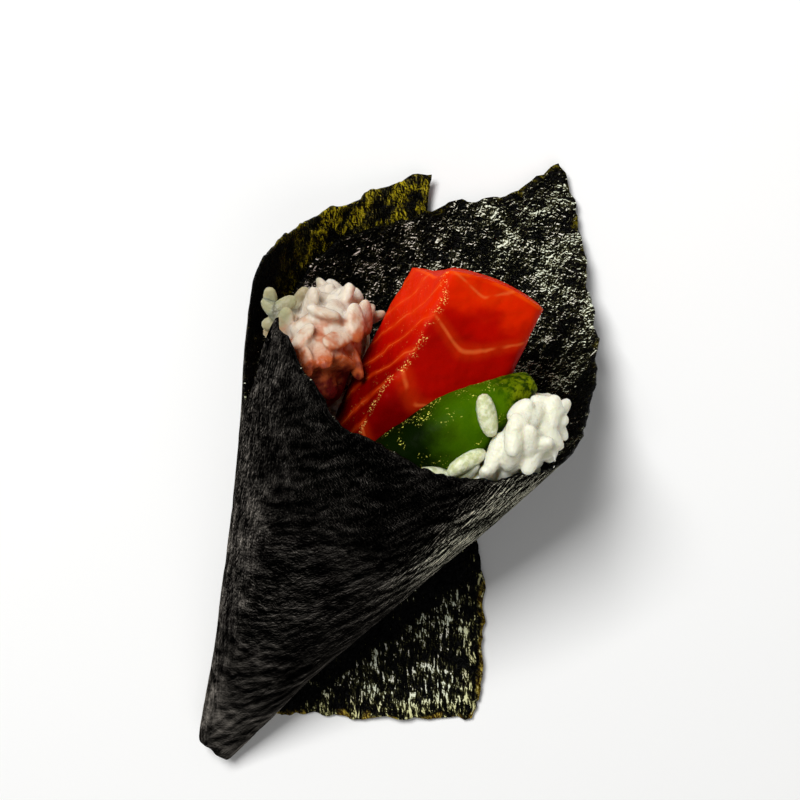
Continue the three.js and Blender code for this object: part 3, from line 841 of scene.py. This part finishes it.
# %% The salmon's flesh
# The flesh is orange; the two reds are painted shade on it, deeper down in the roll.
ORANGE, SHADED_RED, DEEP_SHADE_RED = (0.66, 0.016, 0.0001), (0.40, 0.0022, 0.0001), (0.15, 0.0002, 0.0001)
FAT_GLOW, FAT = (0.74, 0.050, 0.0010), (0.78, 0.150, 0.030)
CUT_EDGE_HIGHLIGHT, WET_SPARKLE = (0.82, 0.080, 0.0020), (1.0, 0.62, 0.16)

# Painted shade: darker deep in the roll, and sooner on the right face, which faces away from the light.
right_face_shade = flesh.ease(down + (wander - 0.5) * 9, 3, 14) * 0.66
shade_inwards = left * flesh.ease(down, 5, 30) + (1 - left) * right_face_shade
shade_inwards = larger(flesh, shade_inwards, flesh.ease(down, 12, 32))
warm = flesh.mix(flesh.ease(shade_inwards, 0, 0.55), ORANGE, SHADED_RED)
warm = flesh.mix(flesh.ease(shade_inwards, 0.5, 1), warm, DEEP_SHADE_RED)
warm = flesh.mix(glow, warm, FAT_GLOW)
# A painted highlight along the edge of the cut end.
rim = flesh.ease(abs(deep - 2.1), 0.7, 0.1) * fade
warm = flesh.mix(rim * 0.6, warm, CUT_EDGE_HIGHLIGHT)
dots = flesh.grain(chart, 0.30, detail=2, roughness=0.6)
sheen = flesh.grain(chart, 1.9, detail=2)
ridge = flesh.ease(abs(across - 0.2), 0.9, 0.1) * flesh.ease(down, -1, 1)
# Painted sparkles on the wet ridge, and a few on the left face.
spark = flesh.ease(dots, 0.55, 0.63) * ridge * flesh.ease(sheen, 0.40, 0.56)
spark = spark + flesh.ease(dots, 0.62, 0.70) * flesh.ease(sheen, 0.54, 0.64) * 0.4 * left
height = flesh.grain(spot, 5) * 0.7 + dots * 0.03 - fat * 0.05
toned = flesh.mix(fat, warm, FAT)
flesh.surface(
    Base_Color=flesh.mix(smaller(flesh, spark * (1 - end), 1), toned, WET_SPARKLE),
    Roughness=0.34,
    Normal=flesh.bump(height),
    Subsurface_Weight=0.15,
    Subsurface_Radius=(1.0, 0.2, 0.06),
    Subsurface_Scale=1.6 * MM,
    Specular_IOR_Level=0.01,
)
salmon.data.materials.append(flesh.material)
print("nodes of the fish:", len(flesh.tree.nodes))

# %% [markdown]
# ## The avocado
# One slice of ripe avocado lies across the salmon's right side. It is a long rounded form,
# thickest near the mouth, whose right end is soft and crumpled. A curve with a bevel object could
# make such a form, but its section changes all the way, so the rule here sweeps an oval whose
# width and thickness are read from stations, and crumples it towards the right end.

# %% The slice
AVOCADO_HALF = (7, 5.4)
AVOCADO_LEAN = math.radians(18)
AVOCADO_TAPER, AVOCADO_BLUNTNESS = 0.5, 0.34
CRUMPLE_DEPTH = 0.10
HOLLOW_SIDE = 0.24  # how much narrower it is on its upper left side, near the mouth
SOFTNESS, SOFT_SIZE = 0.22, 4.5
avocado_line = along([
    (16.3, 98.5, 38.6), (10.4, 89.4, 41.2), (5.6, 80, 41.6), (2, 67.5, 37.5), (0.4, 50, 25),
])
# Shares of its halves along it, (place, width, thickness): it narrows towards its right end.
avocado_shares = through([(0, 0.34, 0.62), (0.1, 0.52, 0.74), (0.2, 0.74, 0.88), (0.34, 1, 1), (1, 1, 1)])


def avocado_point(u, v):
    """u goes round the slice, v from its right end down into the roll."""
    around = 2 * math.pi * u
    girth = math.sin(math.pi * clamp(v, 1e-6, 1 - 1e-6) ** AVOCADO_TAPER) ** AVOCADO_BLUNTNESS
    heading = Vector(avocado_line(max(0, v - 0.02))) - Vector(avocado_line(min(1, v + 0.02)))
    heading.normalize()
    right = heading.cross(Vector((0, 0, 1))).normalized()
    lean = Matrix.Rotation(AVOCADO_LEAN, 3, heading)
    up = lean @ right.cross(heading)
    right = lean @ right
    crumple = 1 + CRUMPLE_DEPTH * rough(3 * u, 20 * v, 1.2, 6.1) * (1 - ease(v, 0.1, 0.3))
    shares = avocado_shares(v)
    wide, thick = (half * share * girth * crumple for half, share in zip(AVOCADO_HALF, shares))
    wide *= 1 - HOLLOW_SIDE * clamp(-math.cos(around)) * ease(v, 0, 0.15) * (1 - ease(v, 0.45, 0.7))
    middle = Vector(avocado_line(v))
    point = middle + right * wide * math.cos(around) + up * thick * math.sin(around)
    soft = SOFTNESS * rough(point.x, point.y, SOFT_SIZE, point.z / SOFT_SIZE)
    return point + (point - middle).normalized() * soft * min(1, girth * 3)


avocado = grid_piece(
    "avocado", 90, 110, avocado_point, lambda u, v: (40 * u, 60 * v), closed=True
)
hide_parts("avocado")

# %% [markdown]
# Ripe avocado is deep green and moist, and yellows towards the stone. A plain colour ramp along
# the slice would look like plastic, so noises push its steps about: painted shade darkens the green
# down into the roll, and the crumpled end is a mix of yellow-green and painted shade in its
# creases. The wet specks are painted glints: thresholds on a fine noise, let through by a broad
# one, so that they come in groups.

# %% The avocado's flesh
FRESH, SHADED_GREEN, IN_SHADE_GREEN = (0.062, 0.140, 0.0003), (0.020, 0.075, 0.0002), (0.0022, 0.0065, 0.0001)
CREASE_SHADE_GREEN, YELLOW_GREEN = (0.012, 0.024, 0.0002), (0.150, 0.190, 0.002)
WET_GLINT = (0.80, 0.78, 0.12)

green = Finish("avocado_flesh")
spot = green.place()
blotch = green.grain(spot, 3.6, detail=3)
fleck = green.grain(spot, 1.3, detail=4, roughness=0.65)
dots = green.grain(spot, 0.34, detail=2, roughness=0.6)
sheen = green.grain(spot, 2.4, detail=2)
right = green.part(spot, "X") * 0.75 + green.part(spot, "Y") * 0.66
ripe = green.ease(right + (blotch - 0.5) * 9, 70, 77)
# Painted shade darkens the green down into the roll.
shade_in_roll = green.ease(right + (blotch - 0.5) * 5, 67, 58)
body = green.mix(shade_in_roll, FRESH, IN_SHADE_GREEN)
body = green.mix(green.ease(blotch, 0.36, 0.60) * 0.5 * (1 - shade_in_roll), body, SHADED_GREEN)
# Painted shade in the creases of the crumpled end.
crumpled = green.mix(green.ease(fleck, 0.42, 0.60), CREASE_SHADE_GREEN, YELLOW_GREEN)
seam = green.part(spot, "X") * 0.81 - green.part(spot, "Y") * 0.58
seam = green.ease(seam, -44.9, -47.2)
# Painted glints, most along the seam with the salmon.
speck = green.ease(dots, 0.59, 0.67) * green.ease(sheen + seam * 0.13, 0.58, 0.68) * (1 - ripe)
height = blotch * 0.35 + fleck * (0.04 + 0.45 * ripe) + dots * 0.03
toned = green.mix(ripe, body, crumpled)
green.surface(
    Base_Color=green.mix(smaller(green, speck, 1), toned, WET_GLINT),
    Roughness=0.42,
    Normal=green.bump(height),
    Subsurface_Weight=0.12,
    Subsurface_Radius=(0.6, 1.0, 0.1),
    Subsurface_Scale=1.5 * MM,
    Specular_IOR_Level=0.01,
)
avocado.data.materials.append(green.material)

# %% [markdown]
# ## The rice
# Cooked sushi rice sticks together, so a heap is one soft mass with whole grains on its surface.
# Particles would scatter grains, but they would cut into the fish and stay apart from each other,
# and an export drops them. So the heap is built up as a mesh. The CAD rice, remeshed, smoothed and
# shrunk a little, is the core that fills the roll.

# %% The core
CORE_VOXEL, CORE_SHRINK = 0.8, 0.9

rice_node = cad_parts["rice"]
mass = bmesh.new()
mass.from_mesh(rice_node.data)
bmesh.ops.remove_doubles(mass, verts=mass.verts, dist=0.1 * JOIN_WITHIN * MM)
core = object_of("rice_core", mass)
melt = core.modifiers.new("melt", "REMESH")
melt.mode = "VOXEL"
melt.voxel_size = CORE_VOXEL * MM
settle = core.modifiers.new("settle", "SMOOTH")
settle.factor = 0.6
settle.iterations = 6
sink = core.modifiers.new("sink", "DISPLACE")
sink.mid_level = 0
sink.strength = -CORE_SHRINK * MM


def surface_of(piece):
    """Search tree over a piece's finished surface."""
    return BVHTree.FromObject(piece, bpy.context.evaluated_depsgraph_get())


bpy.context.view_layer.update()
neighbours = [surface_of(piece) for piece in (sheet, salmon, avocado)]
print("core made from", len(core.data.vertices), "points")

# %% [markdown]
# A cooked grain of sushi rice is a short blunt spindle, a little flat and slightly bent. One is
# made from a sphere of a few dozen faces, and every other grain is a copy of it, turned and
# stretched. Before one is laid, five balls along it are tried against the nori, the fish and the
# avocado: if any of them comes too close, the grain has no room there.

# %% One grain, and a rule that lays it
GRAIN_LENGTH, GRAIN_WIDTH = 7.2, 3.0
GRAIN_FLATNESS, GRAIN_BEND = 0.86, 0.09
CLEARANCE = 0.12
UPRIGHT = Vector((0, 0, 1))


def grain_form():
    """A grain of length and width 1 along Y: a slightly bent, blunt spindle."""
    form = bmesh.new()
    bmesh.ops.create_uvsphere(form, u_segments=10, v_segments=8, radius=0.5)
    for vert in form.verts:
        x, z, y = vert.co  # the poles lie along the grain
        middle = 1 - (2 * y) ** 2
        full = clamp(middle, 0.001) ** -0.1
        vert.co = (x * full, y, z * GRAIN_FLATNESS * full - GRAIN_BEND * middle)
    for face in form.faces:
        face.smooth = True
    bmesh.ops.recalc_face_normals(form, faces=form.faces)
    mesh = bpy.data.meshes.new("grain_form")
    form.to_mesh(mesh)
    form.free()
    return mesh


one_grain = grain_form()


def lay_grain(heap, centre, heading, normal, length, width, flatness=1.0):
    """Adds one grain to a bmesh. Lengths in mm."""
    side = heading.cross(normal).normalized()
    turned = Matrix((side, heading, side.cross(heading))).transposed().to_4x4()
    sized = Matrix.Diagonal((width * MM, length * MM, width * flatness * MM, 1))
    grain = one_grain.copy()
    grain.transform(Matrix.Translation(centre * MM) @ turned @ sized)
    heap.from_mesh(grain)
    bpy.data.meshes.remove(grain)


def is_clear(centre, heading, length, width):
    """True if no neighbour comes within the clearance of the grain's form."""
    for share, girth in ((-0.42, 0.55), (-0.25, 0.9), (0, 1), (0.25, 0.9), (0.42, 0.55)):
        point = (centre + heading * share * length) * MM
        for tree in neighbours:
            near, _, _, distance = tree.find_nearest(point)
            if near and distance < (0.5 * width * girth + CLEARANCE) * MM:
                return False
    return True


def compass(degrees):
    """Level direction, from +Y towards +X."""
    turn = math.radians(degrees)
    return Vector((math.sin(turn), math.cos(turn), 0))


print("faces of one grain:", len(one_grain.polygons))

# %% [markdown]
# Grains are laid on the core only where it can be seen from the mouth. The places to choose from
# are the middles of the core's faces there, which could come from a vertex group as well, but a
# line of Python says it more plainly. They are shuffled, so that no row of faces shows through.

# %% Places for the grains
SEEN_FROM = Vector((0, 0.45, 0.89))

draw = random.Random(5)
shrunk = core.evaluated_get(bpy.context.evaluated_depsgraph_get()).to_mesh()
spots = []
for face in shrunk.polygons:
    centre = face.center / MM
    x, y, _ = centre - APEX
    if face.normal.dot(SEEN_FROM) > -0.35 and y > 74 and -23 < x < 23:
        spots.append((centre, face.normal.copy()))
draw.shuffle(spots)
heap = bmesh.new()
heap.from_mesh(shrunk)
print("places to choose from:", len(spots))

# %% [markdown]
# In a real heap the grains lie about their own width apart, so each place in turn gets a grain if
# none lies near. Where a grain has no room it is tried deeper, and at last left out. In the left
# heap the grains lie looser and tilt more, and low down, where they are soaked, they sink into the
# mass. Neighbours are looked for in a coarse grid of cells, because trying every pair is slow.

# %% Scatter the grains
SPACING = 2.8
LEAN = Vector((-0.476, 0.875, 0))  # the grains mostly point this way
WANDER = 0.4  # how far they stray from it
SOAKED_DROP = 9  # how far down the left heap, in mm, the soaked grains start


def drop_at(x, y):
    """How far down the left heap a place is, in mm. It takes numbers or sockets."""
    return x * 0.47 - y * 0.88 + 96


grid_cells = {}
count = 0
for centre, normal in spots:
    key = tuple(int(c // SPACING) for c in centre)
    near = [
        other
        for dx in (-1, 0, 1) for dy in (-1, 0, 1) for dz in (-1, 0, 1)
        for other in grid_cells.get((key[0] + dx, key[1] + dy, key[2] + dz), ())
    ]
    on_left = centre.x < APEX.x
    spacing = SPACING * (1.1 if on_left else 1)
    if any((other - centre).length < spacing for other in near):
        continue
    any_way = Vector([draw.uniform(-1, 1) for _ in range(3)])
    heading = LEAN.lerp(any_way, WANDER)
    heading = (heading - normal * heading.dot(normal)).normalized()
    tip = 0.2 if on_left else 0.1
    heading = (heading + normal * draw.uniform(-tip, tip)).normalized()
    side = heading.cross(normal).normalized()
    leaning = (normal + side * draw.uniform(-2, 2) * tip).normalized()
    length = GRAIN_LENGTH * draw.uniform(0.82, 1.05) * (0.9 if on_left else 1)
    width = GRAIN_WIDTH * draw.uniform(0.92, 1.15) * (1.1 if on_left else 0.98)
    flatness = 0.75 if on_left else 1
    lifts = (0.35, 0.15, -0.1, -0.3) if on_left else (0.2, 0, -0.2, -0.4)
    x, y, _ = centre - APEX
    if on_left and drop_at(x, y) > SOAKED_DROP:
        flatness = 0.5
        lifts = (0.05, -0.15, -0.35)
    for lift in lifts:
        middle = centre + normal * lift * width * 0.5
        if is_clear(middle, heading, length, width):
            lay_grain(heap, middle, heading, leaning, length, width, flatness)
            grid_cells.setdefault(key, []).append(centre)
            count += 1
            break
print("grains laid:", count)

# %% [markdown]
# The top of the right heap stands out against the sheet behind it, so chance doesn't place its
# grains. Each has a place of its own, and one that has no room there is tried a little higher.

# %% Grains with places of their own
SET_STEP, SET_TRIES = 0.6, 5
# Each set grain has its place, its heading, and its length and width.
SET_GRAINS = [
    (16.6, 93.6, 45.0, 20, 5.0, 3.2), (20.0, 96.2, 42.6, 84, 6.0, 3.0), (19.4, 93.2, 43.4, -50, 6.0, 3.2),
    (17.6, 90.0, 44.6, -28, 6.6, 3.0), (20.6, 91.0, 43.0, 10, 6.2, 3.2), (18.6, 87.2, 43.6, -45, 6.2, 3.2),
    (22.4, 94.2, 41.4, 40, 5.0, 3.0), (21.6, 88.0, 42.4, -10, 6.0, 3.2), (23.9, 90.4, 39.6, -20, 5.2, 3.0),
]

for x, y, z, heading, length, width in SET_GRAINS:
    for lift in range(SET_TRIES):
        middle = Vector((x, y, z + SET_STEP * lift)) + APEX
        if is_clear(middle, compass(heading), length, width):
            lay_grain(heap, middle, compass(heading), UPRIGHT, length, width)
            break
    else:
        print("no room at", x, y)
bpy.data.objects.remove(core)
print("grains in places of their own:", len(SET_GRAINS))

# %% [markdown]
# The core and its grains still cut through each other. A Remesh modifier by voxels melts them
# into one skin, which a little smoothing softens, as starch does. That makes far more faces than
# the heap needs deep in the roll, so a Decimate modifier takes them out where the skin is smooth.

# %% Stick them together
STICK_VOXEL, KEPT_FACES = 0.29, 0.44

rice = finished("rice", heap)
stick = rice.modifiers.new("stick", "REMESH")
stick.mode = "VOXEL"
stick.voxel_size = STICK_VOXEL * MM
stick.use_smooth_shade = True
soften = rice.modifiers.new("soften", "SMOOTH")
soften.factor = 0.5
soften.iterations = 2
thin_out = rice.modifiers.new("thin_out", "DECIMATE")
thin_out.ratio = KEPT_FACES
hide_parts("rice")

# %% [markdown]
# Some grains came off the heaps. Small ones lie between the left heap and the wall, where each has
# its own place and tilt, and a few lie on the avocado, where each is dropped onto the slice from
# above. They stay whole, so they need no remeshing.

# %% Loose grains
DROP_FROM = 90  # mm above the floor
# Each side grain has its place, heading, tilt, length and width, and each loose one its place and
# heading.
SIDE_GRAINS = [
    (-27.0, 89.8, 39.0, -28, 25, 4.4, 2.4), (-25.9, 88.6, 39.3, 110, 5, 4.8, 2.5),
    (-24.6, 90.0, 39.2, 30, -10, 4.6, 2.6), (-23.8, 88.4, 39.6, 75, 12, 5.0, 2.8),
    (-22.6, 86.8, 39.4, -20, 0, 5.0, 2.8), (-24.6, 86.8, 37.8, 50, -15, 4.6, 2.6),
]
LOOSE_GRAINS = [(12, 90.6, -43), (12.5, 82.6, 50), (13.0, 80.2, -20), (9.6, 78.4, 90)]

side_heap = bmesh.new()
for x, y, z, heading, tilt, length, width in SIDE_GRAINS:
    pitch = math.radians(tilt)
    pointing = compass(heading) * math.cos(pitch) + UPRIGHT * math.sin(pitch)
    lay_grain(side_heap, Vector((x, y, z)) + APEX, pointing, UPRIGHT, length, width, 0.75)
side_grains = finished("side_grains", side_heap)
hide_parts("rice")

loose = bmesh.new()
for x, y, heading in LOOSE_GRAINS:
    above = (Vector((x, y, DROP_FROM)) + APEX) * MM
    hit, normal, _, _ = neighbours[2].ray_cast(above, -UPRIGHT)
    pointing = compass(heading)
    pointing = (pointing - normal * pointing.dot(normal)).normalized()
    middle = hit / MM + normal * 0.28 * GRAIN_WIDTH
    lay_grain(loose, middle, pointing, normal, GRAIN_LENGTH, GRAIN_WIDTH * 1.08)
loose_grains = finished("loose_grains", loose)
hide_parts("avocado")

# %% [markdown]
# Cooked rice is white and a little see-through, so light gets in at one side of a grain and out
# at the other. Subsurface light does that. The left heap is warm white on top, then pink, and dark
# red where it lies against the fish: partly juice from the fish, partly painted light reflected
# from it, with painted shade low down. Its steps follow how far down the heap a place is, pushed
# about by a noise. Grains on the avocado get a greenish painted light from it, and rice by the
# wall a painted shade. Voronoi cells of about a grain's size shade the grains a little unlike each
# other.

# %% The rice's finish
GREENISH, MILKY, WHITE = (0.56, 0.60, 0.32), (0.82, 0.84, 0.60), (0.86, 0.85, 0.69)
WARM_WHITE, PINKISH, WALL_SHADE = (0.74, 0.67, 0.56), (0.64, 0.42, 0.30), (0.34, 0.34, 0.20)
SHADE, WARM_SHADE = (0.46, 0.42, 0.30), (0.36, 0.25, 0.17)
# Peach, pink and dark red: partly juice from the fish, partly painted light from it, with painted shade
# low down.
PEACH, SALMON_PINK, SOAKED_SHADE_RED = (0.60, 0.32, 0.18), (0.46, 0.075, 0.006), (0.10, 0.0006, 0.0001)

white = Finish("cooked_rice")
spot = white.place()
x, y, z = (white.part(spot, axis) for axis in "XYZ")
tone = white.ease(white.grain(spot, 2.6, detail=2), 0.35, 0.65)
drop = drop_at(x, y) + (tone - 0.5) * 5
left_heap = white.ease(x, 2, -3)
# Partly juice from the fish, partly painted light reflected from it.
warmth = white.ease(drop + (x + 20) * 0.3, 5, 14) * left_heap
blush = white.ease(drop + (x + 20) * 0.2, 8, 15) * left_heap
# Dark red low down: juice with painted shade.
juice_and_shade = white.ease(drop + (x + 20) * 0.1, 13, 20) * left_heap
lumps = white.scaled(spot, (1 / 3.0, 1 / 4.2, 1 / 3.0), RIB_TURN)
grains = white.scaled(spot, (1 / 2.3, 1 / 6.0, 1 / 2.3), RIB_TURN)
shade = white.cells(lumps) * left_heap + white.cells(grains) * (1 - left_heap)
milk = white.ease(white.grain(spot, 0.8, detail=2), 0.34, 0.66)
# Away from the heaps the grains lie on the avocado, and their greenish tint is painted light from the
# green slice under them.
pale = white.mix(milk, GREENISH, MILKY)
in_heap = larger(white, white.ease(x, 14.2, 15.2), white.ease(z, 36, 32))
pale = white.mix(in_heap, pale, WHITE)
pale = white.mix(left_heap, pale, WARM_WHITE)
# Pinkish on the side next to the fish: painted light reflected from it.
pale = white.mix(left_heap * white.ease(x, -17, -9) * 0.6, pale, PINKISH)
# Greyer by the wall: painted shade.
pale = white.mix(white.ease(x, -21.6, -23.4), pale, WALL_SHADE)
dull = white.mix(left_heap, SHADE, WARM_SHADE)
pale = white.mix((tone * 0.2 + shade * 0.35) * (left_heap * 0.7 + 0.3), pale, dull)
tinted = white.mix(warmth * 0.7, pale, PEACH)
tinted = white.mix(blush * 0.92, tinted, SALMON_PINK)
stain_and_painted_light = white.mix(juice_and_shade, tinted, SOAKED_SHADE_RED)
stain_and_painted_light = white.mix(white.ease(z, 29, 21), stain_and_painted_light, pale)
height = white.grain(spot, 0.9, detail=3) * 0.3 + shade * (left_heap * 0.2 + 0.2)
height = height + white.grain(spot, 0.4, detail=2) * 0.08
white.surface(
    Base_Color=stain_and_painted_light,
    Roughness=white.ease(juice_and_shade, 0, 1, to=(0.26, 0.7)),
    Normal=white.bump(height),
    Subsurface_Weight=0.6,
    Subsurface_Radius=(1.0, 0.8, 0.5),
    Subsurface_Scale=2.6 * MM,
    Specular_IOR_Level=0.2,
)
for piece in (rice, side_grains, loose_grains):
    piece.data.materials.clear()
    piece.data.materials.append(white.material)

# %% [markdown]
# ## Floor, light and camera
# The roll lies on a pale floor, so large that its edges stay out of sight.

# %% Floor
FLOOR_HALF = 1.5  # m

floor_shape = bmesh.new()
bmesh.ops.create_grid(floor_shape, x_segments=1, y_segments=1, size=FLOOR_HALF)
floor = object_of("floor", floor_shape)
matt = Finish("pale_floor")
floor.data.materials.append(matt.surface(Base_Color=(0.93, 0.93, 0.92), Roughness=0.9))
print("floor:", 2 * FLOOR_HALF, "m wide")

# %% [markdown]
# Food is mostly lit by a window: one soft light from the side. A sun would cut hard shadows, and an
# even sky alone would look flat. So a fairly small area light from the upper left models the form
# and throws a soft shadow to the right, a wide weak one opposite it fills the shadows, and a faint
# white world lifts the rest.

# %% Lights
target = Vector((0, 0.01, 0.02))


def soft_light(name, direction, distance, size, power):
    """Square area light that faces the roll from a direction."""
    lamp = bpy.data.lights.new(name, "AREA")
    lamp.size = size
    lamp.energy = power
    holder = bpy.data.objects.new(name, lamp)
    holder.location = target + Vector(direction).normalized() * distance
    holder.rotation_euler = (holder.location - target).to_track_quat("Z", "Y").to_euler()
    bpy.context.scene.collection.objects.link(holder)


soft_light("key", (-0.50, 0.30, 1.0), distance=0.9, size=0.34, power=8.5)
soft_light("fill", (0.5, -0.4, 1.0), distance=1.6, size=1.2, power=4)
world = bpy.data.worlds.new("studio")
world.use_nodes = True
world.node_tree.nodes["Background"].inputs["Color"].default_value = (1, 1, 1, 1)
world.node_tree.nodes["Background"].inputs["Strength"].default_value = 0.12
bpy.context.scene.world = world
bpy.context.scene.view_settings.view_transform = "Standard"

# %% [markdown]
# The camera looks down on the mouth, almost from straight above, and is rolled so that the tip
# points to the lower left. It could be turned by three angles, but a place, a point to look at
# and a way up say the same more plainly, and from these three its matrix is worked out. A long
# lens keeps the roll's proportions.

# %% Camera
FOCAL_LENGTH, SENSOR = 85.49, 36
eye = Vector((-0.94, 115.906, 343.365)) + APEX
aim = Vector((-0.94, 83.10, 15.0)) + APEX
up = Vector((-0.4757291, 0.8752341, -0.08744772))
back = (eye - aim).normalized()
right_hand = up.cross(back).normalized()
lens = bpy.data.cameras.new("camera")
lens.lens = FOCAL_LENGTH
lens.sensor_width = SENSOR
camera = bpy.data.objects.new("camera", lens)
camera.matrix_world = Matrix.Translation(eye * MM) @ Matrix(
    (right_hand, back.cross(right_hand), back)
).transposed().to_4x4()
bpy.context.scene.collection.objects.link(camera)
bpy.context.scene.camera = camera
print(f"camera: {(eye - aim).length:.0f} mm from what it looks at")
